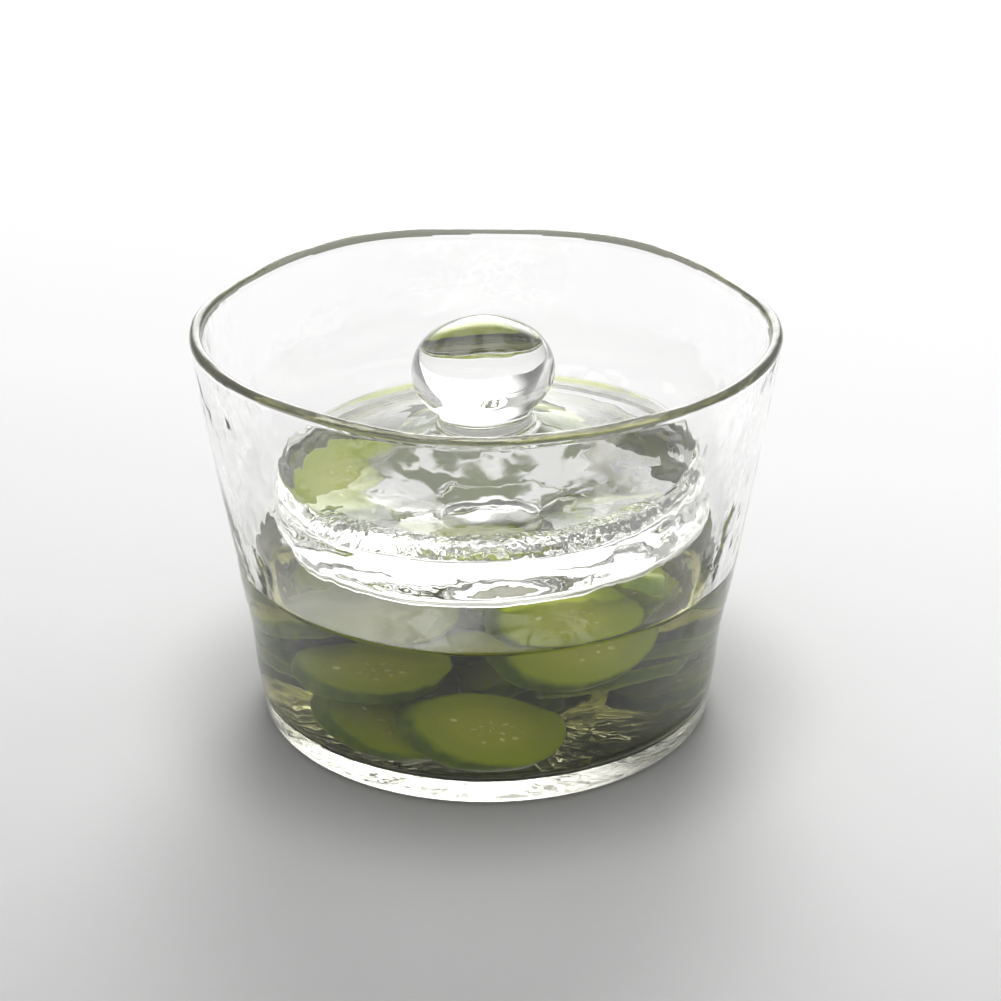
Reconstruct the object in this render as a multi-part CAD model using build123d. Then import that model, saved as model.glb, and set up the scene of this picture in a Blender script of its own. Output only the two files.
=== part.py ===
from build123d import *
from math import acos, atan2, cos, degrees, radians, sin, tan
import os

import numpy as np

# A pickle press of clear glass: a hand-shaped bowl, a loose glass weight with a ball knob, and the sliced
# cucumber that the weight presses.
# Lengths are in millimetres and angles in degrees. +Z is up, the origin is the centre of the bowl's base on
# the table, and -Y is the front.

# Bowl
rim_height = 109.0
base_radius = 60.4
rim_flare = 14.9
rim_radius = base_radius + rim_flare
heel_round = 2.5
floor_thickness = 5.5
floor_round = 5.0
wall_at_base = 4.5
wall_at_rim = 3.2
lip_round = 1.3
# The hand-shaped rim strays from a true circle and a level by these amounts.
rim_sway = 1.0
rim_rise = 0.4

# Weight, which passes the wall halfway up the bowl with some play at its side
weight_play = 6.3
weight_level_share = 0.5
weight_side_height = 17.5
weight_crown_height = 26.0
weight_crown_hollow = 2.1
weight_low_round = 4.0
weight_high_round = 4.5
neck_radius = 12.5
neck_foot = 1.5
neck_height = 3.55
knob_radius = 18.8
knob_half_height = 13.4
knob_side_round = 10.8
weight_off_centre = 1.0
weight_tilt = 2.5

# Cucumber slices, cut on the slant
slice_width = 28.0
slice_thickness = 4.6
slice_slant = 43.0

# Fits
slice_clearance = 0.35
weight_clearance = 0.35
cut_overrun = 20.0
# How near to the wall's own clearance a slice settles.
settling_slack = 0.02
# Spacing of the measuring grid on which the pile settles.
settling_grid = 0.5

# Wall profile: the height as a share of the rim's, and the share of the flare from base to rim reached there.
# The low wall is nearly upright, and above a soft shoulder the wall leans out. The last row lies above the
# lip, for the cut that shapes it.
WALL_SHARES = (
    (0.000, 0.00),
    (0.125, 0.13),
    (0.250, 0.22),
    (0.375, 0.38),
    (0.500, 0.52),
    (0.625, 0.66),
    (0.750, 0.79),
    (0.875, 0.91),
    (1.000, 1.00),
    (1.125, 1.08),
)

# Sway of the rim: the number of lobes round it, their share of the sway, and the direction of the first lobe.
SWAY_SHARES = ((1, 0.6, -95), (2, 0.35, -25), (4, 0.4, -12), (5, 0.55, -88), (6, 0.45, 14))
RISE_SHARES = ((1, 0.7, -124), (6, 1.0, -23))

# The pile, in the order in which the slices drop in. Each row has the direction and the distance from the
# axis, as a share of the base radius, the direction of the slice's long axis, and for a slice that is propped
# against others how far it leans and which way it faces. The others find their own lean.
PILE_SHARES = (
    (236, 0.64, -22, 24, 270),
    (268, 0.67, -10, 33, 284),
    (90, 0.10, 30),
    (90, 0.62, 5),
    (145, 0.62, 50),
    (185, 0.62, 110),
    (15, 0.62, 110),
    (318, 0.62, 50, 18, 100),
    (60, 0.62, 150),
    (226, 0.64, 10, 14, 250),
    (345, 0.62, 75),
    (165, 0.62, 75),
    (0, 0.00, 100),
    (298, 0.68, 8, 45, 285),
    (115, 0.62, 30),
    (30, 0.62, 115),
    (95, 0.60, 5),
    (185, 0.62, 95),
    (330, 0.15, 60),
    (90, 0.15, 0),
    (30, 0.60, 120),
    (150, 0.20, 120),
    (210, 0.15, 20),
    (35, 0.60, 0),
    (90, 0.60, 60),
    (150, 0.60, 60),
    (80, 0.60, 150),
    (335, 0.60, 100),
    (172, 0.62, 90, 6, 200),
)
# Leans and facings that a slice tries, to find those in which its middle comes lowest. A slice that the wall
# pushes away from its place pays this share of the way as if it lay higher.
TRIAL_LEANS = (7, 14, 21, 28, 35)
TRIAL_FACINGS = range(0, 360, 45)
drift_share = 0.15


def stray(angle, shares):
    """Sum of the lobes at a direction in degrees, before the sway or rise scales it."""
    return sum(share * cos(lobes * radians(angle) - radians(first)) for lobes, share, first in shares)


def wall_radius(height):
    """Mean outside radius of the wall at a height."""
    heights = [share * rim_height for share, _ in WALL_SHARES]
    radii = [base_radius + share * rim_flare for _, share in WALL_SHARES]
    return np.interp(height, heights, radii)


def wall_thickness(height):
    """Thickness of the wall at a height: it thins towards the rim."""
    return np.interp(height, (0, rim_height), (wall_at_base, wall_at_rim))


def wall_section(height, inset=0):
    """Closed outline of the wall at a height. The sway grows from nothing at the base."""
    sway = rim_sway * (height / rim_height) ** 2
    points = []
    for angle in range(0, 360, 20):
        radius = wall_radius(height) - inset + sway * stray(angle, SWAY_SHARES)
        points.append((radius * cos(radians(angle)), radius * sin(radians(angle)), height))
    return Wire([Edge.make_spline(points, periodic=True)])


def rim_cutter():
    """Solid above the rim, whose underside rises and falls with it."""
    reach = rim_radius + cut_overrun
    steps = np.linspace(-reach, reach, 9)
    rows = []
    for y in steps:
        row = []
        for x in steps:
            near_wall = min(np.hypot(x, y) / rim_radius, 1)
            angle = np.degrees(atan2(y, x))
            rise = rim_rise * near_wall**2 * stray(angle, RISE_SHARES)
            row.append((x, y, rim_height + rise))
        rows.append(row)
    underside = Face.make_surface_from_array_of_points(rows)
    return Solid.extrude(underside, Vector(0, 0, 3 * cut_overrun))


def make_bowl():
    """Bowl: a lofted wall with a thick floor, a rounded heel, and a wavy fire-polished lip."""
    heights = [share * rim_height for share, _ in WALL_SHARES]
    body = Solid.make_loft([wall_section(height) for height in heights])
    heel = body.edges().sort_by(Axis.Z)[0]
    body = body.fillet(heel_round, [heel])

    inner_heights = [floor_thickness] + [height for height in heights if height > 2 * floor_thickness]
    cavity = Solid.make_loft([wall_section(height, wall_thickness(height)) for height in inner_heights])
    corner = cavity.edges().sort_by(Axis.Z)[0]
    cavity = cavity.fillet(floor_round, [corner])

    bowl = (body - cavity - rim_cutter()).solid()
    lip = bowl.faces().sort_by(Axis.Z)[-1]
    return bowl.fillet(lip_round, lip.edges())


def slice_axes(turn, lean, facing):
    """Long axis, short axis and normal of a slice, the normal leaning towards the direction that it faces."""
    lean, facing, turn = radians(lean), radians(facing), radians(turn)
    normal = np.array((sin(lean) * cos(facing), sin(lean) * sin(facing), cos(lean)))
    long_axis = np.array((cos(turn), sin(turn), 0))
    long_axis = long_axis - normal * (long_axis @ normal)
    long_axis = long_axis / np.linalg.norm(long_axis)
    return long_axis, np.cross(normal, long_axis), normal


def slice_half_length():
    """Half of the oval's long axis: the knife crosses a round cucumber on the slant."""
    return slice_width / 2 / cos(radians(slice_slant))


def make_slice(middle, axes):
    """Slice: an oval slab whose skin runs on the slant, as the knife did."""
    half_thickness = slice_thickness / 2
    shift = half_thickness * tan(radians(slice_slant))
    outline = Edge.make_ellipse(slice_half_length(), slice_width / 2)
    low_face = Face(Wire([outline])).moved(Location((-shift, 0, -half_thickness)))
    slab = Solid.extrude(low_face, Vector(2 * shift, 0, slice_thickness))
    place = Plane(origin=tuple(middle), x_dir=tuple(axes[0]), z_dir=tuple(axes[2]))
    return place.location * slab


def slice_span(axes, grow, dx, dy):
    """Lowest and highest height of a slice, grown all round, at points beside its middle, or not a number."""
    long_axis, short_axis, normal = axes
    half_length = slice_half_length() + grow
    half_width = slice_width / 2 + grow
    half_thickness = slice_thickness / 2 + grow
    slant = tan(radians(slice_slant))
    # Up the plumb line through each point, three coordinates change steadily with the height: through the
    # slab, along its long axis in step with the slanted skin, and along its short axis.
    through = normal[0] * dx + normal[1] * dy
    along = long_axis[0] * dx + long_axis[1] * dy - slant * through
    along_rate = long_axis[2] - slant * normal[2]
    across = short_axis[0] * dx + short_axis[1] * dy
    across_rate = short_axis[2]
    # The skin is where the last two meet the oval, which gives a quadratic in the height.
    a = (along_rate / half_length) ** 2 + (across_rate / half_width) ** 2
    b = 2 * (along * along_rate / half_length**2 + across * across_rate / half_width**2)
    c = (along / half_length) ** 2 + (across / half_width) ** 2 - 1
    with np.errstate(invalid="ignore"):
        root = np.sqrt(b * b - 4 * a * c)
        low = np.maximum((-b - root) / (2 * a), (-half_thickness - through) / normal[2])
        high = np.minimum((-b + root) / (2 * a), (half_thickness - through) / normal[2])
        missed = ~(low <= high)
    low[missed] = np.nan
    high[missed] = np.nan
    return low, high


def cavity_radius(height):
    """Least inside radius of the bowl at a height, with the round at the floor."""
    radius = wall_radius(height) - wall_thickness(height) - rim_sway * height / rim_height
    below_round = np.clip(floor_thickness + floor_round - height, 0, floor_round)
    return radius - floor_round + np.sqrt(floor_round**2 - below_round**2)


def weight_radius():
    """Radius of the weight: it fits the cavity at its level with the play."""
    return cavity_radius(weight_level_share * rim_height) - weight_play


def past_wall(middle, axes, grow):
    """How far a slice, grown all round, reaches past the inside of the wall."""
    round_oval = np.radians(np.arange(0, 360, 6))
    reaches = []
    for side in (-1, 1):
        through = side * (slice_thickness / 2 + grow)
        along = (slice_half_length() + grow) * np.cos(round_oval) + through * tan(radians(slice_slant))
        across = (slice_width / 2 + grow) * np.sin(round_oval)
        x, y, z = (
            middle[i] + along * axes[0][i] + across * axes[1][i] + through * axes[2][i] for i in range(3)
        )
        reaches.append(np.max(np.hypot(x, y) - cavity_radius(z)))
    return max(reaches)


class Pile:
    """Height of the heap over a grid of points, which grows as slices drop on it."""

    def __init__(self):
        line = np.arange(-rim_radius, rim_radius, settling_grid)
        self.xs, self.ys = np.meshgrid(line, line)
        self.top = np.full(self.xs.shape, floor_thickness)
        self.line = line

    def lower(self, direction, distance, axes):
        """Middle of a slice that comes down until it rests, moved in while the wall is in its way."""
        for _ in range(20):
            x, y = distance * cos(radians(direction)), distance * sin(radians(direction))
            columns = slice(*np.searchsorted(self.line, (x - slice_width, x + slice_width)))
            rows = slice(*np.searchsorted(self.line, (y - slice_width, y + slice_width)))
            near = (rows, columns)
            low, _ = slice_span(axes, slice_clearance, self.xs[near] - x, self.ys[near] - y)
            middle = np.array((x, y, np.nanmax(self.top[near] - low)))
            overreach = past_wall(middle, axes, slice_clearance)
            if overreach <= settling_slack:
                return middle
            distance = distance - overreach
        return None

    def drop(self, direction, distance_share, turn, lean=None, facing=None):
        """Drop one slice in, in its own lean or in the one that brings its middle lowest."""
        trials = [(lean, facing)]
        if lean is None:
            trials = [(0, 0)] + [(lean, facing) for lean in TRIAL_LEANS for facing in TRIAL_FACINGS]
        distance = distance_share * base_radius
        rests = []
        for lean, facing in trials:
            axes = slice_axes(turn, lean, facing)
            middle = self.lower(direction, distance, axes)
            if middle is not None:
                drift = distance - np.hypot(middle[0], middle[1])
                rests.append((middle[2] + drift_share * abs(drift), len(rests), middle, axes))
        _, _, middle, axes = min(rests)
        _, high = slice_span(axes, 0, self.xs - middle[0], self.ys - middle[1])
        self.top = np.fmax(self.top, high + middle[2])
        return middle, axes

    def seat_weight(self):
        """Place of the weight's underside where it comes down on the heap, tilted a little to the left."""
        slope = tan(radians(weight_tilt))
        right = self.xs - weight_off_centre
        under_weight = np.hypot(right, self.ys) < weight_radius()
        height = np.max((self.top - slope * right)[under_weight]) + weight_clearance
        return Location((weight_off_centre, 0, height), (0, -weight_tilt, 0))


def make_weight_disc():
    """Disc: a thick plate with soft edges, whose top sweeps up in a hollow curve to the knob's neck."""
    radius = weight_radius()
    side_top = (radius, weight_side_height)
    ring = (neck_radius + neck_foot, weight_crown_height)
    neck_top = (neck_radius, weight_crown_height + neck_foot)
    outline = Polyline((0, 0), (radius, 0), side_top)
    outline += SagittaArc(side_top, ring, weight_crown_hollow)
    outline += RadiusArc(ring, neck_top, neck_foot)
    outline += Polyline(neck_top, (0, neck_top[1]), (0, 0))
    profile = make_face(outline)
    low_corner, high_corner = profile.vertices().group_by(Axis.X)[-1].sort_by(Axis.Y)
    profile = fillet(low_corner, weight_low_round)
    high_corner = profile.vertices().group_by(Axis.X)[-1].sort_by(Axis.Y)[-1]
    profile = fillet(high_corner, weight_high_round)
    return revolve(Plane.XZ * profile, Axis.Z)


def make_weight_knob():
    """Knob: a flattened ball of glass that narrows to a short neck, gathered hot onto the disc."""
    # The ball's outline is three arcs that run into one another: crown, side and underside.
    side_offset = knob_radius - knob_side_round
    excess = knob_half_height - knob_side_round
    crown_offset = (side_offset**2 - excess**2) / (2 * excess)
    crown_radius = knob_half_height + crown_offset
    touch = degrees(atan2(crown_offset, side_offset))
    neck = degrees(acos(neck_radius / crown_radius))
    neck_bottom = weight_crown_height + neck_foot
    centre_height = neck_bottom + neck_height + crown_radius * sin(radians(neck)) - crown_offset
    crown = CenterArc((0, centre_height - crown_offset), crown_radius, 90, touch - 90)
    side = CenterArc((side_offset, centre_height), knob_side_round, touch, -2 * touch)
    underside = CenterArc((0, centre_height + crown_offset), crown_radius, -touch, touch - neck)
    stem = Polyline(underside @ 1, (neck_radius, neck_bottom), (0, neck_bottom), crown @ 0)
    return revolve(Plane.XZ * make_face(crown + side + underside + stem), Axis.Z)


def main():
    """Write each piece to its own file, in place."""
    os.makedirs("parts", exist_ok=True)
    export_step(make_bowl(), "parts/bowl.step")
    pile = Pile()
    for number, row in enumerate(PILE_SHARES, 1):
        middle, axes = pile.drop(*row)
        export_step(make_slice(middle, axes), f"parts/cucumber_slice_{number:02d}.step")
        print("slice", number, "rests at", np.round(middle, 1), "leaning", round(degrees(acos(axes[2][2]))))
    seat = pile.seat_weight()
    print("weight rests at", seat)
    export_step(seat * make_weight_disc(), "parts/weight_disc.step")
    export_step(seat * make_weight_knob(), "parts/weight_knob.step")


main()
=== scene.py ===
# %% [markdown]
# # A glass pickle press
# The press is a hand-shaped bowl of clear glass, a loose glass weight with a ball knob, sliced cucumber and
# brine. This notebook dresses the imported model: the frame gives each piece its place, and every cell makes
# one piece or one finish.

# %% Load the frame
import math

import bmesh
import bpy
import numpy as np
from mathutils import Matrix, Vector


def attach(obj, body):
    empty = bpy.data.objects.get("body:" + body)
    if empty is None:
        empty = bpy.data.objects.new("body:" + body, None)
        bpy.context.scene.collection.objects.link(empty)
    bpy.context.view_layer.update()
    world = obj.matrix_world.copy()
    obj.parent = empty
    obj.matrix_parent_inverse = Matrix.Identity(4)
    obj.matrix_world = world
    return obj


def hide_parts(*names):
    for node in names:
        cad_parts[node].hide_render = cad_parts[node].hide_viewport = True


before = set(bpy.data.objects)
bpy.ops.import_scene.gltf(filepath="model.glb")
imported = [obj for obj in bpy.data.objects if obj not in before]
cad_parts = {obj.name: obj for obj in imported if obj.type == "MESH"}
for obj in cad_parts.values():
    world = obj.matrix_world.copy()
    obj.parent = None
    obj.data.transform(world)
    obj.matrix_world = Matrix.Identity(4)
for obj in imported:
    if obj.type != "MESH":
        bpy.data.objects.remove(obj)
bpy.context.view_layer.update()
slices = sorted(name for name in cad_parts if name.startswith("cucumber_slice"))
print("frame:", len(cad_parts), "nodes,", len(slices), "slices")

# %% [markdown]
# ## Sizes
# The same sizes as the model's own source, in metres. The rest of the notebook speaks in these names, so a
# reader can see which size shapes what.

# %% Sizes of the bowl and the weight
mm = 0.001
rim_height, base_radius, rim_flare = 109.0 * mm, 60.4 * mm, 14.9 * mm
rim_radius = base_radius + rim_flare
heel_round, floor_thickness, floor_round = 2.5 * mm, 5.5 * mm, 5.0 * mm
wall_at_base, wall_at_rim = 4.5 * mm, 3.2 * mm
rim_sway, rim_rise = 1.0 * mm, 0.4 * mm
# The wall's flare at equal steps of height: eight steps reach the rim, and one more goes past it.
wall_shares = (0.00, 0.13, 0.22, 0.38, 0.52, 0.66, 0.79, 0.91, 1.00, 1.08)
rows_to_rim = 8
# Each lobe: how many go round, its share of the stray, and the direction of the first in degrees.
sway_shares = ((1, 0.6, -95), (2, 0.35, -25), (4, 0.4, -12), (5, 0.55, -88), (6, 0.45, 14))
rise_shares = ((1, 0.7, -124), (6, 1.0, -23))

weight_radius, weight_side, weight_crown = 57.5 * mm, 17.5 * mm, 26.0 * mm
weight_hollow, low_round, high_round = 2.1 * mm, 4.0 * mm, 4.5 * mm
neck_radius, neck_foot, neck_height = 12.5 * mm, 1.5 * mm, 3.55 * mm
knob_radius, knob_half_height, knob_side_round = 18.8 * mm, 13.4 * mm, 10.8 * mm
brine_level, brine_climb = 45.0 * mm, 1.6 * mm
merge_distance = 1e-7

# %% [markdown]
# ## Small helpers
# Shader trees and Geometry Nodes trees are both made of nodes and links. One helper adds a node, sets it up,
# and links any socket that it is given, so that each recipe below reads from top to bottom. Two more write
# the nodes that come back most often: a sum, and a soft step from one level to another.

# %% Helpers that build node trees
def add(tree, kind, inputs=None, **settings):
    """A new node. Each input is a value or another node's socket."""
    made = tree.nodes.new(kind)
    for name, value in settings.items():
        setattr(made, name, value)
    for key, value in (inputs or {}).items():
        if isinstance(value, bpy.types.NodeSocket):
            tree.links.new(value, made.inputs[key])
        else:
            made.inputs[key].default_value = value
    return made


def calc(tree, operation, *values):
    """The result of one Math node."""
    made = add(tree, "ShaderNodeMath", dict(enumerate(values)), operation=operation)
    return made.outputs[0]


def step_up(tree, value, start, end, low=0.0, high=1.0, smooth=True):
    """A level that goes from low to high while a value goes from start to end."""
    made = add(
        tree,
        "ShaderNodeMapRange",
        {"Value": value, "From Min": start, "From Max": end, "To Min": low, "To Max": high},
        interpolation_type="SMOOTHSTEP" if smooth else "LINEAR",
    )
    return made.outputs["Result"]


def across_axis(tree, spot):
    """Distance from the upright axis, for a place that is split into X, Y and Z."""
    squares = (calc(tree, "MULTIPLY", spot.outputs[axis], spot.outputs[axis]) for axis in "XY")
    return calc(tree, "SQRT", calc(tree, "ADD", *squares))


def new_material(name):
    """An empty material and its tree."""
    material = bpy.data.materials.new(name)
    material.use_nodes = True
    material.node_tree.nodes.clear()
    return material, material.node_tree


def lobes(tree, angle, shares):
    """Sum of cosine lobes round the bowl: the hand-shaped stray of its wall."""
    total = 0.0
    for count, share, first in shares:
        turned = calc(tree, "SUBTRACT", calc(tree, "MULTIPLY", angle, count), math.radians(first))
        lobe = calc(tree, "MULTIPLY", calc(tree, "COSINE", turned), share)
        total = calc(tree, "ADD", total, lobe)
    return total


def new_tree(name, kind, sockets):
    """An empty tree with named inputs and outputs, each a (name, type, default or 'OUT')."""
    tree = bpy.data.node_groups.new(name, kind)
    for title, socket_type, value in sockets:
        way = "OUTPUT" if value == "OUT" else "INPUT"
        socket = tree.interface.new_socket(title, in_out=way, socket_type="NodeSocket" + socket_type)
        if way == "INPUT" and value is not None:
            socket.default_value = value
    return tree


# %% Helpers that turn a tree's result into a plain piece
def line_piece(name, points):
    """A piece that is only a line of points in the X-Z plane, for a tree to turn into a body."""
    mesh = bpy.data.meshes.new(name)
    mesh.from_pydata([(x, 0, z) for x, z in points], [(i, i + 1) for i in range(len(points) - 1)], [])
    piece = bpy.data.objects.new(name, mesh)
    bpy.context.scene.collection.objects.link(piece)
    return piece


def grow(piece, tree, **values):
    """Run a Geometry Nodes tree on a piece and keep the result as plain mesh with its faces outwards."""
    modifier = piece.modifiers.new("form", "NODES")
    modifier.node_group = tree
    sockets = {item.name: item.identifier for item in tree.interface.items_tree if item.in_out == "INPUT"}
    for name, value in values.items():
        modifier[sockets[name.replace("_", " ")]] = value
    graph = bpy.context.evaluated_depsgraph_get()
    made = bpy.data.meshes.new_from_object(piece.evaluated_get(graph))
    piece.modifiers.clear()
    piece.data = made
    # The line that went in had an empty material slot. Without it, the tree's finish is slot 0.
    for slot in reversed(range(len(made.materials))):
        if made.materials[slot] is None:
            made.materials.pop(index=slot)
    made.polygons.foreach_set("material_index", [0] * len(made.polygons))
    form = bmesh.new()
    form.from_mesh(made)
    bmesh.ops.remove_doubles(form, verts=form.verts, dist=merge_distance)
    bmesh.ops.recalc_face_normals(form, faces=form.faces)
    form.to_mesh(made)
    form.free()
    return piece


# %% [markdown]
# ## The camera
# The photograph looks down on the press from a little above, with a long lens.

# %% Camera
aim = Vector((3.7 * mm, 0, 57.7 * mm))
camera_data = bpy.data.cameras.new("camera")
camera_data.lens, camera_data.sensor_width = 101.2, 36.0
camera_data.clip_start, camera_data.clip_end = 0.01, 50.0
camera = bpy.data.objects.new("camera", camera_data)
camera.location = Vector((3.7 * mm, -679.2 * mm, 375.8 * mm))
camera.rotation_euler = (aim - camera.location).to_track_quat("-Z", "Y").to_euler()
bpy.context.scene.collection.objects.link(camera)
bpy.context.scene.camera = camera

# %% [markdown]
# ## The light
# Clear glass has almost no colour of its own. It is drawn by what is seen in it: white where it shows the
# lit backdrop, grey where it shows the darker room on the viewer's side. The world therefore has a soft
# lamp above and behind, and it gives each kind of ray its own room:
# - The floor gets the lamp, with a low level of light from all round.
# - A ray that mirrors off the outside sees a window low at the back.
# - A ray that went through glass sees the backdrop, bright at the back and dark in front.
# - A ray that went through the bowl's wall and was thrown back once inside the weight sees a dim green-grey
#   room with bright panes. That makes the patches in the weight's crown.
# - Light that reaches the slices and the floor through the glass is brighter, because the thick glass
#   gathers it.
#
# A ray that passes through glass counts as a glossy ray too, so the last choice is the one for glass.

# %% World
def field(tree, direction, towards, low, high, edges):
    """A bright field round one direction, which falls off softly to the other side."""
    facing = add(tree, "ShaderNodeVectorMath", {0: direction, 1: towards}, operation="DOT_PRODUCT")
    level = step_up(tree, facing.outputs["Value"], *edges, low, high)
    return add(tree, "ShaderNodeBackground", {"Color": (1, 1, 1, 1), "Strength": level})


def either(tree, share, first, second):
    """The first shader where the share is 0, the second where it is 1."""
    return add(tree, "ShaderNodeMixShader", {0: share, 1: first.outputs[0], 2: second.outputs[0]})


world = bpy.data.worlds.new("studio")
bpy.context.scene.world = world
world.use_nodes = True
sky = world.node_tree
sky.nodes.clear()
direction = add(sky, "ShaderNodeTexCoord").outputs["Generated"]
lamp_side = field(sky, direction, (0.06, 0.755, 0.64), 0.66, 13.5, (0.93, 1.00))
mirror_side = field(sky, direction, (0.0, 0.966, 0.26), 0.15, 5.0, (0.89, 0.985))
window_side = field(sky, direction, (0.35, 0.84, 0.42), 0.25, 3.2, (0.58, 0.92))
inner_fill = field(sky, direction, (0.10, 0.75, 0.64), 2.2, 9.0, (0.87, 1.00))

# The dim room with bright panes, and a bright ceiling over it.
swapped = add(sky, "ShaderNodeVectorMath", {0: direction, 1: (-1.0, 1.0, 1.0)}, operation="MULTIPLY")
panes = add(sky, "ShaderNodeTexNoise", {"Vector": swapped.outputs[0], "Scale": 8.5, "Detail": 0.0})
pane_level = step_up(sky, panes.outputs[0], 0.47, 0.61)
ceiling = step_up(sky, add(sky, "ShaderNodeSeparateXYZ", {0: direction}).outputs["Z"], 0.66, 0.78)
brightness = calc(sky, "ADD", 1.15, calc(sky, "MULTIPLY", ceiling, 0.65))
bright_pane = add(sky, "ShaderNodeBackground", {"Strength": brightness})
dim_room = add(sky, "ShaderNodeBackground", {"Color": (0.27, 0.29, 0.215, 1), "Strength": 1.0})
path = add(sky, "ShaderNodeLightPath")
# Rays that wander on through the brine and the wall see the dim room only.
through_weight = calc(sky, "LESS_THAN", path.outputs["Transmission Depth"], 7.5)
pane_share = calc(sky, "MULTIPLY", calc(sky, "MAXIMUM", pane_level, ceiling), through_weight)
room_side = either(sky, pane_share, dim_room, bright_pane)

# Which ray sees which room.
deep = calc(sky, "GREATER_THAN", path.outputs["Transmission Depth"], 3.5)
thrown_back = calc(sky, "COMPARE", path.outputs["Glossy Depth"], 1.0, 0.5)
after_card = calc(sky, "GREATER_THAN", path.outputs["Diffuse Depth"], 0.5)
through = either(sky, calc(sky, "MULTIPLY", deep, thrown_back), window_side, room_side)
through = either(sky, after_card, through, inner_fill)
seen = calc(sky, "MAXIMUM", path.outputs["Is Camera Ray"], path.outputs["Is Transmission Ray"])
both = either(sky, path.outputs["Is Glossy Ray"], lamp_side, mirror_side)
both = either(sky, seen, both, through)
add(sky, "ShaderNodeOutputWorld", {"Surface": both.outputs[0]})
bpy.context.scene.view_settings.view_transform = "Standard"
# Light is led along the thick glass by many reflections inside it, so a path needs many turns.
path_turns = 48
bpy.context.scene.cycles.max_bounces = path_turns
bpy.context.scene.cycles.transmission_bounces = path_turns
bpy.context.scene.cycles.glossy_bounces = path_turns
print("world:", len(sky.nodes), "nodes")

# %% [markdown]
# ## The floor
# A sheet of pale card lies flat under the press and reaches far past the picture's edges. Its colour fades
# from white at the back to a light grey in front and to the left: painted shade for the light falling off
# away from the lamp behind. Close round the foot it is darker still: painted shade where the thick base keeps
# the light off. A ray that was thrown back inside the weight or the wall and then meets the card sees it glow
# white: a painted light that stands in for the lit paper behind the press.

# %% Floor card
def make_floor(gap):
    """A flat card a hair below the glass, with air between."""
    mesh = bpy.data.meshes.new("floor")
    corners = [(x, y, -gap) for x, y in ((-2.5, -1.8), (2.5, -1.8), (2.5, 4.0), (-2.5, 4.0))]
    mesh.from_pydata(corners, [], [(0, 1, 2, 3)])
    floor = bpy.data.objects.new("floor", mesh)
    bpy.context.scene.collection.objects.link(floor)
    return floor


card, tree = new_material("floor_card")
where = add(tree, "ShaderNodeTexCoord").outputs["Object"]
place = add(tree, "ShaderNodeSeparateXYZ", {0: where})
# Painted shade: the card's colour darkens towards the front and the left, where less of the lamp's light
# falls.
far = calc(tree, "ADD", place.outputs["Y"], calc(tree, "MULTIPLY", place.outputs["X"], 0.33))
fade = add(tree, "ShaderNodeValToRGB", {"Fac": step_up(tree, far, -0.20, 0.50, smooth=False)})
fade.color_ramp.elements[0].color = (0.54, 0.54, 0.54, 1)
fade.color_ramp.elements[1].color = (0.96, 0.96, 0.96, 1)
fade.color_ramp.elements.new(0.30).color = (0.76, 0.76, 0.76, 1)
fade.color_ramp.elements.new(0.55).color = (0.87, 0.87, 0.87, 1)
# Painted shade close round the foot: darkest under the base, and softer beside it.
out = add(tree, "ShaderNodeVectorMath", {0: where}, operation="LENGTH").outputs["Value"]
under = step_up(tree, out, 50 * mm, 62 * mm, 0.12, 1.0)
beside = step_up(tree, out, 58 * mm, 100 * mm, 0.70, 1.0)
contact = calc(tree, "MULTIPLY", under, beside)
tone = add(tree, "ShaderNodeVectorMath", {0: fade.outputs["Color"], "Scale": contact}, operation="SCALE")
paper = add(tree, "ShaderNodeBsdfDiffuse", {"Color": tone.outputs[0]})
# Painted light: for rays thrown back inside the glass, the card glows white in place of the lit paper behind
# the press.
white = add(tree, "ShaderNodeEmission", {"Strength": 2.0})
path = add(tree, "ShaderNodeLightPath")
deep = path.outputs["Is Transmission Ray"]
for test, depth, limit in (
    ("GREATER_THAN", "Transmission Depth", 5.5),
    ("LESS_THAN", "Transmission Depth", 7.5),
    ("LESS_THAN", "Diffuse Depth", 0.5),
    ("GREATER_THAN", "Glossy Depth", 0.5),
):
    deep = calc(tree, "MULTIPLY", deep, calc(tree, test, path.outputs[depth], limit))
add(tree, "ShaderNodeOutputMaterial", {"Surface": either(tree, deep, paper, white).outputs[0]})
floor = make_floor(0.4 * mm)
floor.data.materials.append(card)
print("floor:", [round(side, 2) for side in floor.dimensions], "m")

# %% [markdown]
# ## Turning a profile
# The bowl, the weight and each slice of cucumber are round forms: a line turned about an axis. The tree
# takes the line as a mesh, lays a grid with one row for each point of it, bends the grid round, and closes
# the seam and the poles.

# %% Geometry Nodes: turned profile
turned = new_tree(
    "Turned profile",
    "GeometryNodeTree",
    (("Profile", "Geometry", None), ("Around", "Int", 96), ("Mesh", "Geometry", "OUT")),
)
given = add(turned, "NodeGroupInput")
profile = given.outputs["Profile"]
rows = add(turned, "GeometryNodeAttributeDomainSize", {"Geometry": profile}, component="MESH")
rows = rows.outputs["Point Count"]
grid = add(
    turned,
    "GeometryNodeMeshGrid",
    {
        "Size X": calc(turned, "SUBTRACT", rows, 1.0),
        "Size Y": given.outputs["Around"],
        "Vertices X": rows,
        "Vertices Y": calc(turned, "ADD", given.outputs["Around"], 1.0),
    },
)
spot = add(turned, "ShaderNodeSeparateXYZ", {0: add(turned, "GeometryNodeInputPosition").outputs[0]})
half_rows = calc(turned, "DIVIDE", calc(turned, "SUBTRACT", rows, 1.0), 2.0)
row = calc(turned, "ROUND", calc(turned, "ADD", spot.outputs["X"], half_rows))
lap = calc(turned, "DIVIDE", spot.outputs["Y"], given.outputs["Around"])
angle = calc(turned, "MULTIPLY", lap, 2 * math.pi)
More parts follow.
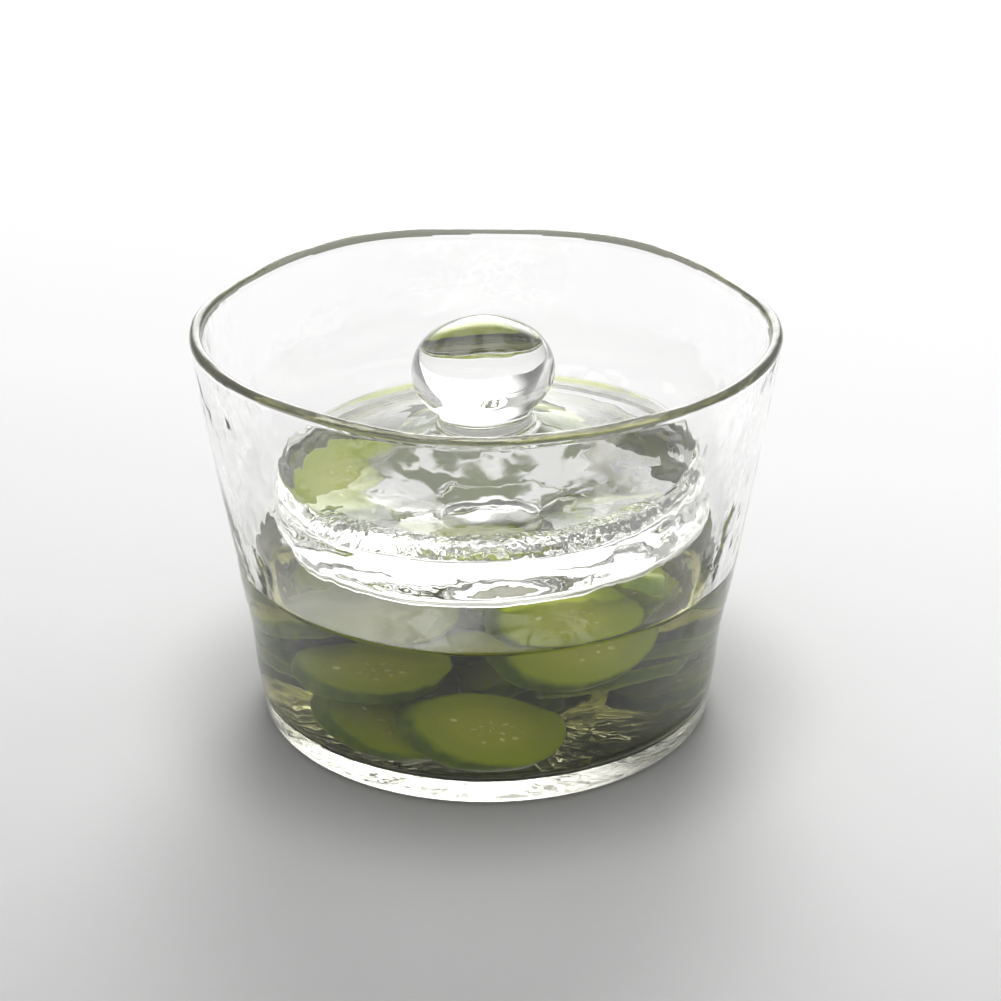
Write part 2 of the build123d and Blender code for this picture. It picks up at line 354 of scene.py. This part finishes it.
sample = add(
    turned,
    "GeometryNodeSampleIndex",
    {
        "Geometry": profile,
        "Value": add(turned, "GeometryNodeInputPosition").outputs[0],
        "Index": row,
    },
    data_type="FLOAT_VECTOR",
    domain="POINT",
)
on_line = add(turned, "ShaderNodeSeparateXYZ", {0: sample.outputs[0]})
bent = add(
    turned,
    "ShaderNodeCombineXYZ",
    {
        "X": calc(turned, "MULTIPLY", on_line.outputs["X"], calc(turned, "COSINE", angle)),
        "Y": calc(turned, "MULTIPLY", on_line.outputs["X"], calc(turned, "SINE", angle)),
        "Z": on_line.outputs["Z"],
    },
)
grid = grid.outputs["Mesh"]
moved = add(turned, "GeometryNodeSetPosition", {"Geometry": grid, "Position": bent.outputs[0]})
closed = add(turned, "GeometryNodeMergeByDistance", {"Geometry": moved.outputs[0], "Distance": 1e-6})
smooth = add(turned, "GeometryNodeSetShadeSmooth", {"Geometry": closed.outputs[0]})
add(turned, "NodeGroupOutput", {"Mesh": smooth.outputs[0]})
print("tree:", turned.name, len(turned.nodes), "nodes")

# %% [markdown]
# ## Hand-shaped glass
# Glass worked by hand is never quite round. This tree turns the profile, lets the wall sway and the rim rise
# in a few slow lobes, and then moves the skin in and out by a soft noise, which makes the thickness vary:
# that is what bends the light in the real bowl.

# %% Geometry Nodes: hand-shaped glass
shaped = new_tree(
    "Hand-shaped glass",
    "GeometryNodeTree",
    (
        ("Profile", "Geometry", None),
        ("Around", "Int", 96),
        ("Rim Height", "Float", rim_height),
        ("Rim Radius", "Float", rim_radius),
        ("Sway", "Float", 0.0),
        ("Rise", "Float", 0.0),
        ("Ripple Depth", "Float", 0.0),
        ("Ripple Size", "Float", 0.015),
        ("Seed", "Float", 0.0),
        ("Finish", "Material", None),
        ("Mesh", "Geometry", "OUT"),
    ),
)
given = add(shaped, "NodeGroupInput")
lathe = add(shaped, "GeometryNodeGroup", node_tree=turned)
shaped.links.new(given.outputs["Profile"], lathe.inputs["Profile"])
shaped.links.new(given.outputs["Around"], lathe.inputs["Around"])
spot = add(shaped, "ShaderNodeSeparateXYZ", {0: add(shaped, "GeometryNodeInputPosition").outputs[0]})
angle = calc(shaped, "ARCTAN2", spot.outputs["Y"], spot.outputs["X"])
radius = across_axis(shaped, spot)
up = calc(shaped, "DIVIDE", spot.outputs["Z"], given.outputs["Rim Height"])
out_share = calc(shaped, "MINIMUM", calc(shaped, "DIVIDE", radius, given.outputs["Rim Radius"]), 1.0)
# The sway grows as the square of the height, and fades over the floor, where the glass is a flat plate.
sway = calc(shaped, "MULTIPLY", calc(shaped, "POWER", up, 2.0), given.outputs["Sway"])
sway = calc(shaped, "MULTIPLY", sway, lobes(shaped, angle, sway_shares))
rise = calc(shaped, "MULTIPLY", calc(shaped, "POWER", up, 6.0), given.outputs["Rise"])
rise = calc(shaped, "MULTIPLY", rise, calc(shaped, "POWER", out_share, 2.0))
rise = calc(shaped, "MULTIPLY", rise, lobes(shaped, angle, rise_shares))
stray = add(
    shaped,
    "ShaderNodeCombineXYZ",
    {
        "X": calc(shaped, "MULTIPLY", sway, calc(shaped, "COSINE", angle)),
        "Y": calc(shaped, "MULTIPLY", sway, calc(shaped, "SINE", angle)),
        "Z": rise,
    },
)
body = lathe.outputs["Mesh"]
swayed = add(shaped, "GeometryNodeSetPosition", {"Geometry": body, "Offset": stray.outputs[0]})
# Inner and outer skin face opposite ways, so the sign of the normal along the radius tells them apart, and
# each gets its own ripple.
normal = add(shaped, "GeometryNodeInputNormal").outputs[0]
outwards = add(shaped, "ShaderNodeCombineXYZ", {"X": spot.outputs["X"], "Y": spot.outputs["Y"]})
side = add(shaped, "ShaderNodeVectorMath", {0: normal, 1: outwards.outputs[0]}, operation="DOT_PRODUCT")
side = calc(shaped, "MULTIPLY", calc(shaped, "SIGN", side.outputs["Value"]), 3.0)
ripple = add(
    shaped,
    "ShaderNodeTexNoise",
    {
        "Vector": add(shaped, "GeometryNodeInputPosition").outputs[0],
        "W": calc(shaped, "ADD", side, given.outputs["Seed"]),
        "Scale": calc(shaped, "DIVIDE", 1.0, given.outputs["Ripple Size"]),
        "Detail": 1.5,
        "Roughness": 0.45,
    },
    noise_dimensions="4D",
)
swing = calc(shaped, "MULTIPLY", calc(shaped, "SUBTRACT", ripple.outputs[0], 0.5), 2.0)
swing = calc(shaped, "MULTIPLY", swing, given.outputs["Ripple Depth"])
# The foot stays flat, because it was pressed on a plate, and the ripple grows over this height above it.
ripple_start = 8 * mm
foot = calc(shaped, "MINIMUM", calc(shaped, "DIVIDE", spot.outputs["Z"], ripple_start), 1.0)
swing = calc(shaped, "MULTIPLY", swing, foot)
push = add(shaped, "ShaderNodeVectorMath", {0: normal, "Scale": swing}, operation="SCALE")
rippled = add(shaped, "GeometryNodeSetPosition", {"Geometry": swayed.outputs[0], "Offset": push.outputs[0]})
real = add(shaped, "GeometryNodeRealizeInstances", {0: rippled.outputs[0]})
finish = add(
    shaped, "GeometryNodeSetMaterial", {"Geometry": real.outputs[0], "Material": given.outputs["Finish"]}
)
add(shaped, "NodeGroupOutput", {"Mesh": finish.outputs[0]})
print("tree:", shaped.name, len(shaped.nodes), "nodes")

# %% [markdown]
# ## Clear glass
# The glass has a faint green-grey body colour, which shows only where the eye looks through much of it, as
# at the rim's edge. Its skin has a fine unevenness from the mould and the fire. The same unevenness, at
# another size, is on the weight, so it is a shader node group with its own values in each material.
#
# The glass comes in six finishes. Where brine wets the bowl, its skin mirrors almost nothing. The lip has
# painted shade: a faint, dull grey-olive share in its finish draws the grey line of the rim, which the dim
# light carried up inside the wall makes. The weight's upper edge is crinkled in front, and its side and
# underside were pressed smooth.

# %% Shader group: uneven skin
skin = new_tree(
    "Uneven skin",
    "ShaderNodeTree",
    (
        ("Broad Size", "Float", 0.012),
        ("Fine Size", "Float", 0.003),
        ("Fine Share", "Float", 0.3),
        ("Height", "Float", "OUT"),
    ),
)
given = add(skin, "NodeGroupInput")
where = add(skin, "ShaderNodeTexCoord").outputs["Object"]
# The glass flows down as it cools, so the unevenness is drawn out a little along the height.
drawn = add(skin, "ShaderNodeVectorMath", {0: where, 1: (1.0, 1.0, 0.75)}, operation="MULTIPLY")
drawn = drawn.outputs[0]
broad_scale = calc(skin, "DIVIDE", 1.0, given.outputs["Broad Size"])
fine_scale = calc(skin, "DIVIDE", 1.0, given.outputs["Fine Size"])
broad = add(skin, "ShaderNodeTexNoise", {"Vector": drawn, "Scale": broad_scale, "Detail": 2.0})
fine = add(skin, "ShaderNodeTexNoise", {"Vector": drawn, "Scale": fine_scale, "Detail": 1.0})
height = calc(skin, "MULTIPLY", fine.outputs[0], given.outputs["Fine Share"])
height = calc(skin, "ADD", height, broad.outputs[0])
add(skin, "NodeGroupOutput", {"Height": height})


# %% Glass materials
def make_glass(name, broad_size, fine_size, fine_share, depth, tint_density, mirror=0.5, bloom=0.0):
    """Clear glass with an uneven skin, of this depth in metres. Painted rim shade makes it greyer and duller.
    """
    material, tree = new_material(name)
    sizes = {"Broad Size": broad_size, "Fine Size": fine_size, "Fine Share": fine_share}
    uneven = add(tree, "ShaderNodeGroup", node_tree=skin)
    for title, value in sizes.items():
        uneven.inputs[title].default_value = value
    height = uneven.outputs["Height"]
    bump = add(tree, "ShaderNodeBump", {"Height": height, "Strength": 1.0, "Distance": depth})
    # Painted rim shade: a dull grey-olive share in place of some clearness, which draws a grey line.
    surface = add(
        tree,
        "ShaderNodeBsdfPrincipled",
        {
            "Base Color": (0.60, 0.60, 0.50, 1) if bloom else (1, 1, 1, 1),
            "Roughness": 0.5 * bloom,
            "IOR": 1.51,
            "Specular IOR Level": mirror,
            "Transmission Weight": 1.0 - bloom,
            "Normal": bump.outputs[0],
        },
    )
    body = add(tree, "ShaderNodeVolumeAbsorption", {"Color": (0.70, 0.71, 0.60, 1), "Density": tint_density})
    add(tree, "ShaderNodeOutputMaterial", {"Surface": surface.outputs[0], "Volume": body.outputs[0]})
    return material


# Each row: size of the broad and of the fine unevenness, share of the fine one, and depth.
bowl_skin = (16 * mm, 3.5 * mm, 0.12, 0.3 * mm)
weight_skin = (18 * mm, 2.6 * mm, 0.02, 0.4 * mm)
smooth_skin = (18 * mm, 2.6 * mm, 0.02, 0.1 * mm)
crinkled_skin = (4.2 * mm, 2.1 * mm, 0.30, 0.9 * mm)
bowl_tint, weight_tint = 3.0, 1.5
bowl_glass = make_glass("bowl_glass", *bowl_skin, bowl_tint)
wet_glass = make_glass("wet_bowl_glass", *bowl_skin, bowl_tint, mirror=0.05)
# The lip's grey line is painted shade, for the dim light that the wall carries up to the lip.
lip_glass = make_glass("bowl_lip_glass", *bowl_skin, bowl_tint, bloom=0.25)
weight_glass = make_glass("weight_glass", *weight_skin, weight_tint)
crinkled_glass = make_glass("crinkled_weight_glass", *crinkled_skin, weight_tint)
smooth_glass = make_glass("smooth_weight_glass", *smooth_skin, weight_tint)
print("glass:", [m.name for m in bpy.data.materials if "glass" in m.name])

# %% [markdown]
# ## The bowl
# One line goes round the whole section of the glass: along the base, round the heel, up the outside, over the
# fire-polished lip, down the inside, round the floor's corner and to the middle. The wall passes through
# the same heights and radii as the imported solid.

# %% Bowl profile
def wall_radius(height):
    """Outside radius of the wall, a smooth cubic curve through the rows of the profile."""
    last = len(wall_shares) - 1
    place = max(0.0, min(height / rim_height * rows_to_rim, last - 0.001))
    low = int(place)
    rows = [wall_shares[max(0, min(i, last))] for i in range(low - 1, low + 3)]
    t = place - low
    tangents = ((rows[2] - rows[0]) / 2, (rows[3] - rows[1]) / 2)
    if low == 0:
        tangents = (rows[2] - rows[1], tangents[1])
    h00, h10 = 2 * t**3 - 3 * t**2 + 1, t**3 - 2 * t**2 + t
    h01, h11 = -2 * t**3 + 3 * t**2, t**3 - t**2
    share = h00 * rows[1] + h10 * tangents[0] + h01 * rows[2] + h11 * tangents[1]
    return base_radius + share * rim_flare


def wall_thickness(height):
    """Thickness of the wall, which thins towards the rim."""
    return wall_at_base + (wall_at_rim - wall_at_base) * height / rim_height


def arc(centre, radius, start, end, steps):
    """Points of an arc, from one direction in degrees to another."""
    angles = np.radians(np.linspace(start, end, steps))
    return [(centre[0] + radius * math.cos(a), centre[1] + radius * math.sin(a)) for a in angles]


def bowl_profile(step):
    """The whole section of the bowl, from the middle of the base to the middle of the floor."""
    heel = (wall_radius(heel_round) - heel_round, heel_round)
    line = [(x, 0.0) for x in np.linspace(0, heel[0], 26)[:-1]]
    line += arc(heel, heel_round, -90, 0, 9)
    heights = np.arange(heel_round + step, rim_height - wall_at_rim / 2, step)
    line += [(wall_radius(z), z) for z in heights]
    lip_radius = wall_at_rim / 2
    lip = (wall_radius(rim_height) - lip_radius, rim_height - lip_radius)
    line += arc(lip, lip_radius, 0, 180, 15)
    corner_height = floor_thickness + floor_round
    line += [(wall_radius(z) - wall_thickness(z), z) for z in heights[::-1] if z > corner_height]
    corner = (wall_radius(corner_height) - wall_thickness(corner_height) - floor_round, corner_height)
    line += arc(corner, floor_round, 0, -90, 9)
    line += [(x, floor_thickness) for x in np.linspace(corner[0], 0, 24)[1:]]
    return line


# %% Bowl
bowl = grow(
    line_piece("bowl_glass_body", bowl_profile(1.1 * mm)),
    shaped,
    Around=330,
    Sway=rim_sway,
    Rise=rim_rise,
    Ripple_Depth=0.45 * mm,
    Ripple_Size=22 * mm,
    Seed=2.0,
    Finish=bowl_glass,
)
bowl.data.materials.append(wet_glass)
bowl.data.materials.append(lip_glass)
wet_faces = 0
lip_height = 1.5 * mm
for face in bowl.data.polygons:
    inwards = face.normal.xy.dot(face.center.xy) < 0 or face.normal.z > 0.5
    if inwards and floor_thickness - mm < face.center.z < brine_level + brine_climb:
        face.material_index = 1
        wet_faces += 1
    elif face.center.z > rim_height - lip_height:
        face.material_index = 2
print("wet faces:", wet_faces)
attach(bowl, "bowl")
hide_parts("bowl")
print("bowl:", len(bowl.data.polygons), "faces")

# %% [markdown]
# ## The weight
# The disc and its knob are one casting, so they are one line too: up round the thick disc, over its hollow
# top, up the neck and over the ball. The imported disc's flat underside says where the weight lies and how it
# tilts.

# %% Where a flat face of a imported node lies
def flat_sides(name):
    """Middle and direction of a node's largest flat face and of the one opposite."""
    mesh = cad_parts[name].data
    mesh.calc_loop_triangles()
    corners = np.array([[mesh.vertices[i].co for i in tri.vertices] for tri in mesh.loop_triangles])
    cross = np.cross(corners[:, 1] - corners[:, 0], corners[:, 2] - corners[:, 0])
    area = np.linalg.norm(cross, axis=1) / 2
    normals = cross / np.maximum(2 * area[:, None], 1e-12)
    # Triangles of one flat face share a direction, so the most area in one rounded direction finds it.
    rounded, groups = np.unique(np.round(normals, 4), axis=0, return_inverse=True)
    facing = rounded[np.argmax(np.bincount(groups.ravel(), weights=area))]
    facing = facing / np.linalg.norm(facing)
    alike = normals @ facing
    sides = []
    for chosen in (alike > 0.99999, alike < -0.99999):
        middles = corners[chosen].mean(1)
        weights = area[chosen][:, None]
        sides.append((middles * weights).sum(0) / weights.sum() if chosen.any() else None)
    return sides, facing


# %% Weight profile
def weight_profile(step):
    """Section of the weight, from the middle of its underside to the top of the knob."""
    line = [(x, 0.0) for x in np.linspace(0, weight_radius - low_round, 36)[:-1]]
    line += arc((weight_radius - low_round, low_round), low_round, -90, 0, 11)
    line += [(weight_radius, z) for z in np.arange(low_round + step, weight_side - high_round, step)]
    line += arc((weight_radius - high_round, weight_side - high_round), high_round, 0, 88, 12)
    start, end = line[-1], (neck_radius + neck_foot, weight_crown)
    # The crown is a straight slope that sinks by a parabola, deepest in the middle.
    for t in np.linspace(0, 1, 42)[1:]:
        sink = weight_hollow * 4 * t * (1 - t)
        line.append((start[0] + (end[0] - start[0]) * t, start[1] + (end[1] - start[1]) * t - sink))
    line += arc((neck_radius + neck_foot, weight_crown + neck_foot), neck_foot, -90, -180, 6)[1:]
    # The ball is three arcs that touch: a wide one below, a tight one at the side and a wide one on top.
    side_offset = knob_radius - knob_side_round
    excess = knob_half_height - knob_side_round
    crown_offset = (side_offset**2 - excess**2) / (2 * excess)
    crown_radius = knob_half_height + crown_offset
    touch = math.degrees(math.atan2(crown_offset, side_offset))
    neck = math.degrees(math.acos(neck_radius / crown_radius))
    drop = crown_radius * math.sin(math.radians(neck)) - crown_offset
    middle = weight_crown + neck_foot + neck_height + drop
    line += arc((0, middle + crown_offset), crown_radius, -neck, -touch, 10)
    line += arc((side_offset, middle), knob_side_round, -touch, touch, 30)[1:]
    line += arc((0, middle - crown_offset), crown_radius, touch, 90, 16)[1:]
    return line


# %% Weight
(underside, _), down = flat_sides("weight_disc")
up_axis = -Vector(down)
across = (Vector((1, 0, 0)) - up_axis * up_axis.x).normalized()
turn = Matrix((across, up_axis.cross(across), up_axis)).transposed().to_4x4()
seat = Matrix.Translation(Vector(underside)) @ turn
weight = grow(
    line_piece("weight_glass_body", weight_profile(0.9 * mm)),
    shaped,
    Around=300,
    Ripple_Depth=0.48 * mm,
    Ripple_Size=17 * mm,
    Seed=11.0,
    Finish=weight_glass,
)
weight.data.materials.append(crinkled_glass)
weight.data.materials.append(smooth_glass)
crinkle_width, crinkle_height, crinkle_front = 7 * mm, weight_side - 3.5 * mm, 0.62
for face in weight.data.polygons:
    out = face.center.xy.length
    in_front = -face.center.y > crinkle_front * out
    if in_front and out > weight_radius - crinkle_width and face.center.z > crinkle_height:
        face.material_index = 1
    elif face.center.z < crinkle_height:
        face.material_index = 2
weight.data.transform(seat)
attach(weight, "weight")
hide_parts("weight_disc", "weight_knob")
print("weight:", len(weight.data.polygons), "faces, seat", [round(v, 4) for v in underside])

# %% [markdown]
# ## The slices
# A pickling cucumber cut on the slant gives oval slices: dark green skin at the edge, a ring of olive flesh,
# and a paler heart with three groups of seeds. Each slice is a little different in outline and thickness,
# so the tree has a seed. It also stores where each point lies in the slice, for the colours to follow.

# %% Geometry Nodes: cucumber slice
cut = new_tree(
    "Cucumber slice",
    "GeometryNodeTree",
    (
        ("Profile", "Geometry", None),
        ("Around", "Int", 72),
        ("Half Length", "Float", 0.019),
        ("Half Width", "Float", 0.014),
        ("Half Thickness", "Float", 0.0023),
        ("Slant", "Float", 0.93),
        ("Seed", "Float", 0.0),
        ("Finish", "Material", None),
        ("Mesh", "Geometry", "OUT"),
    ),
)
given = add(cut, "NodeGroupInput")
lathe = add(cut, "GeometryNodeGroup", node_tree=turned)
cut.links.new(given.outputs["Profile"], lathe.inputs["Profile"])
cut.links.new(given.outputs["Around"], lathe.inputs["Around"])
position = add(cut, "GeometryNodeInputPosition").outputs[0]
stored = add(
    cut,
    "GeometryNodeStoreNamedAttribute",
    {"Geometry": lathe.outputs["Mesh"], "Name": "in_slice", "Value": position},
    data_type="FLOAT_VECTOR",
    domain="POINT",
)
spot = add(cut, "ShaderNodeSeparateXYZ", {0: position})
round_noise = add(
    cut,
    "ShaderNodeTexNoise",
    {"Vector": position, "W": given.outputs["Seed"], "Scale": 1.1, "Detail": 1.0},
    noise_dimensions="4D",
)
outline = calc(cut, "MULTIPLY", calc(cut, "SUBTRACT", round_noise.outputs[0], 0.5), 0.10)
outline = calc(cut, "ADD", 1.0, outline)
flat_noise = add(
    cut,
    "ShaderNodeTexNoise",
    {"Vector": position, "W": calc(cut, "ADD", given.outputs["Seed"], 40.0), "Scale": 2.6, "Detail": 2.0},
    noise_dimensions="4D",
)
wave = calc(cut, "MULTIPLY", calc(cut, "SUBTRACT", flat_noise.outputs[0], 0.55), 0.28)
wave = calc(cut, "ADD", 1.0, wave)
tall = calc(cut, "MULTIPLY", calc(cut, "MULTIPLY", spot.outputs["Z"], given.outputs["Half Thickness"]), wave)
sheared = calc(cut, "MULTIPLY", tall, given.outputs["Slant"])
along = calc(cut, "MULTIPLY", calc(cut, "MULTIPLY", spot.outputs["X"], given.outputs["Half Length"]), outline)
aside = calc(cut, "MULTIPLY", calc(cut, "MULTIPLY", spot.outputs["Y"], given.outputs["Half Width"]), outline)
oval = add(cut, "ShaderNodeCombineXYZ", {"X": calc(cut, "ADD", along, sheared), "Y": aside, "Z": tall})
pressed = add(cut, "GeometryNodeSetPosition", {"Geometry": stored.outputs[0], "Position": oval.outputs[0]})
real = add(cut, "GeometryNodeRealizeInstances", {0: pressed.outputs[0]})
finish = add(
    cut, "GeometryNodeSetMaterial", {"Geometry": real.outputs[0], "Material": given.outputs["Finish"]}
)
add(cut, "NodeGroupOutput", {"Mesh": finish.outputs[0]})
print("tree:", cut.name, len(cut.nodes), "nodes")

# %% [markdown]
# ## Pickled cucumber
# The colour follows the place in the slice: skin, flesh and heart, with pale seeds drawn out towards the
# edge. Salt makes the flesh glassy, so some light goes on inside it, and the wet surface has a soft gloss.

# %% Cucumber material
def make_cucumber():
    """Wet pickled cucumber."""
    material, tree = new_material("cucumber")
    where = add(tree, "ShaderNodeAttribute", attribute_name="in_slice")
    spot = add(tree, "ShaderNodeSeparateXYZ", {0: where.outputs["Vector"]})
    out_share = across_axis(tree, spot)
    mottle = add(
        tree,
        "ShaderNodeTexNoise",
        {"Vector": add(tree, "ShaderNodeTexCoord").outputs["Object"], "Scale": 260.0, "Detail": 3.0},
    )
    stray = calc(tree, "MULTIPLY", calc(tree, "SUBTRACT", mottle.outputs[0], 0.5), 0.07)
    strayed = calc(tree, "ADD", out_share, stray)
    zones = add(tree, "ShaderNodeValToRGB", {"Fac": strayed})
    ramp = zones.color_ramp
    ramp.elements[0].position, ramp.elements[0].color = 0.10, (0.52, 0.56, 0.09, 1)
    ramp.elements[1].position, ramp.elements[1].color = 1.0, (0.12, 0.18, 0.012, 1)
    for place, colour in (
        (0.50, (0.48, 0.54, 0.07, 1)),
        (0.60, (0.43, 0.50, 0.05, 1)),
        (0.90, (0.38, 0.46, 0.03, 1)),
        (0.965, (0.25, 0.33, 0.018, 1)),
    ):
        ramp.elements.new(place).color = colour
    # The seeds lie in a ring about the heart: cells in angle and distance, so that they point outwards.
    angle = calc(tree, "ARCTAN2", spot.outputs["Y"], spot.outputs["X"])
    ring = add(
        tree,
        "ShaderNodeCombineXYZ",
        {"X": calc(tree, "MULTIPLY", angle, 2.2), "Y": calc(tree, "MULTIPLY", out_share, 5.0)},
    )
    cells = add(tree, "ShaderNodeTexVoronoi", {"Vector": ring.outputs[0], "Scale": 1.0, "Randomness": 0.8})
    seed = step_up(tree, cells.outputs["Distance"], 0.20, 0.32, 1.0, 0.0)
    inside = step_up(tree, strayed, 0.44, 0.56, 1.0, 0.0, smooth=False)
    # The seeds stand in three groups.
    group = calc(tree, "COSINE", calc(tree, "MULTIPLY", angle, 3.0))
    group = calc(tree, "ADD", calc(tree, "MULTIPLY", group, 0.5), 0.6)
    mask = calc(tree, "MULTIPLY", calc(tree, "MULTIPLY", seed, inside), group)
    colour = add(
        tree,
        "ShaderNodeMix",
        {0: calc(tree, "MULTIPLY", mask, 0.9), 6: zones.outputs["Color"], 7: (0.95, 0.92, 0.50, 1)},
        data_type="RGBA",
    )
    grain = calc(tree, "MULTIPLY", mottle.outputs[0], 0.5)
    relief = calc(tree, "ADD", calc(tree, "MULTIPLY", mask, 0.6), grain)
    bump = add(tree, "ShaderNodeBump", {"Height": relief, "Strength": 0.8, "Distance": 0.0006})
    surface = add(
        tree,
        "ShaderNodeBsdfPrincipled",
        {
            "Base Color": colour.outputs[2],
            "Roughness": 0.28,
            "IOR": 1.38,
            "Specular IOR Level": 0.15,
            "Subsurface Weight": 0.35,
            "Subsurface Radius": (0.9, 1.0, 0.35),
            "Subsurface Scale": 0.003,
            "Normal": bump.outputs[0],
        },
    )
    add(tree, "ShaderNodeOutputMaterial", {"Surface": surface.outputs[0]})
    return material


cucumber = make_cucumber()

# %% Slices
def slice_profile():
    """Section of a slice at unit size: flat cut faces and a soft edge of skin."""
    flat, edge = 0.93, 0.07
    line = [(x, 1.0) for x in np.linspace(0, flat, 17)[:-1]]
    for angle in np.radians(np.linspace(90, -90, 11)):
        height = math.copysign(abs(math.sin(angle)) ** 0.6, math.sin(angle))
        line.append((flat + edge * math.cos(angle), height))
    line += [(x, -1.0) for x in np.linspace(flat, 0, 17)[1:]]
    return line


def slice_frame(name):
    """Middle, axes and size of a packed slice. The slide is the shift of one face against the other."""
    (top, bottom), facing = flat_sides(name)
    facing, lean = Vector(facing), Vector(top - bottom)
    thickness = lean.dot(facing)
    slide = lean - facing * thickness
    long_axis = slide.normalized()
    short_axis = facing.cross(long_axis)
    middle = Vector((top + bottom) / 2)
    corners = np.array([v.co[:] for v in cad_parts[name].data.vertices]) - np.array(middle)
    half_width = np.abs(corners @ np.array(short_axis)).max()
    half_length = np.abs(corners @ np.array(long_axis)).max() - slide.length / 2
    turn = Matrix((long_axis, short_axis, facing)).transposed().to_4x4()
    sizes = (float(half_length), float(half_width), float(thickness) / 2, float(slide.length / thickness))
    return Matrix.Translation(middle) @ turn, sizes


# A slice is made a hair smaller than its solid, so that its unevenness stays inside.
outline_fit, thickness_fit = 0.99, 0.97
for number, name in enumerate(slices):
    seat, (half_length, half_width, half_thickness, slant) = slice_frame(name)
    piece = grow(
        line_piece("slice_" + name[-2:], slice_profile()),
        cut,
        Around=72,
        Half_Length=half_length * outline_fit,
        Half_Width=half_width * outline_fit,
        Half_Thickness=half_thickness * thickness_fit,
        Slant=slant,
        Seed=3.7 * number,
        Finish=cucumber,
    )
    piece.data.transform(seat)
    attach(piece, "bowl")
    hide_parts(name)
print("slices:", len(slices), "of", len(piece.data.polygons), "faces")

# %% [markdown]
# ## The brine
# The liquid fills the bowl to below the weight. Its skin reaches a hair into the glass of the wall, so that
# light goes from glass to brine with no film of air between, and at the top it climbs the wall a little, as
# a wetting liquid does. A pale painted reflection lies on the surface in front, to the left: the bright
# weight and wall mirrored there, painted as a milky, duller and less clear skin. Glass and brine keep one
# plain clearness in each material, so the painted reflection is a row of materials, from clear to cloudy, and
# each face of the surface takes the one that fits its distance from the middle of the painted reflection.

# %% Brine
def brine_profile(step):
    """Section of the brine, from the middle of the floor to the middle of its surface."""
    sunk = 0.3 * mm
    corner_height = floor_thickness + floor_round
    corner = (wall_radius(corner_height) - wall_thickness(corner_height) - floor_round, corner_height)
    line = [(x, floor_thickness - sunk) for x in np.linspace(0, corner[0], 24)[:-1]]
    line += arc(corner, floor_round + sunk, -90, 0, 9)
    heights = np.arange(corner_height + step, brine_level + brine_climb, step)
    line += [(wall_radius(z) - wall_thickness(z) + sunk, z) for z in heights]
    edge = line[-1][0]
    climb_width, climb_fade = 7 * mm, 1.7 * mm
    for depth in np.linspace(0, climb_width, 15)[1:]:
        line.append((edge - depth, brine_level + brine_climb * math.exp(-depth / climb_fade)))
    line += [(x, brine_level) for x in np.linspace(edge - climb_width, 0, 26)[1:]]
    return line


def make_brine(name, mirror, roughness, clear, milk):
    """Pickling brine with the colour that the cucumber gives it. Only its open surface mirrors, and its milky
    base colour there is a painted reflection.
    """
    material, tree = new_material(name)
    where = add(tree, "ShaderNodeTexCoord").outputs["Object"]
    swell = add(tree, "ShaderNodeTexNoise", {"Vector": where, "Scale": 90.0, "Detail": 1.0})
    bump = add(tree, "ShaderNodeBump", {"Height": swell.outputs[0], "Strength": 0.4, "Distance": 0.0004})
    # Where the skin is less clear, its base colour shows: a painted reflection.
    surface = add(
        tree,
        "ShaderNodeBsdfPrincipled",
        {
            "Base Color": milk,
            "Roughness": roughness,
            "IOR": 1.34,
            "Specular IOR Level": mirror,
            "Transmission Weight": clear,
            "Normal": bump.outputs[0],
        },
    )
    body = add(tree, "ShaderNodeVolumeAbsorption", {"Color": (0.865, 0.856, 0.50, 1), "Density": 52.0})
    add(tree, "ShaderNodeOutputMaterial", {"Surface": surface.outputs[0], "Volume": body.outputs[0]})
    return material


brine = grow(
    line_piece("brine", brine_profile(1.2 * mm)),
    shaped,
    Around=220,
    Sway=rim_sway,
    Seed=0.0,
    Finish=make_brine("brine_against_glass", 0.0, 0.0, 1.0, (1, 1, 1, 1)),
)
# Steps of the painted reflection: each shows more of its pale grey base colour, and is duller and less clear
# than the one before.
haze_steps = 8
for step in range(haze_steps + 1):
    share = step / haze_steps
    pale, warm = 1 - 0.28 * share**0.5, 1 - 0.38 * share**0.5
    mirror, roughness, clear = 0.5 + 0.2 * share, 0.10 * share, 1.0 - 0.42 * share
    finish = make_brine(f"brine_surface_{step}", mirror, roughness, clear, (pale, pale, warm, 1))
    brine.data.materials.append(finish)
haze_middle, haze_reach, haze_fade = Vector((-36 * mm, -44 * mm)), 40 * mm, 28 * mm
for face in brine.data.polygons:
    if face.normal.z > 0.3:
        away = (face.center.xy - haze_middle).length
        # A slow wave keeps the painted reflection from being round.
        away += 3 * mm * math.sin(face.center.x / (6 * mm)) * math.cos(face.center.y / (7 * mm))
        share = min(max((haze_reach - away) / haze_fade, 0.0), 1.0)
        face.material_index = 1 + round(share * haze_steps)
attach(brine, "bowl")
print("brine:", len(brine.data.polygons), "faces")
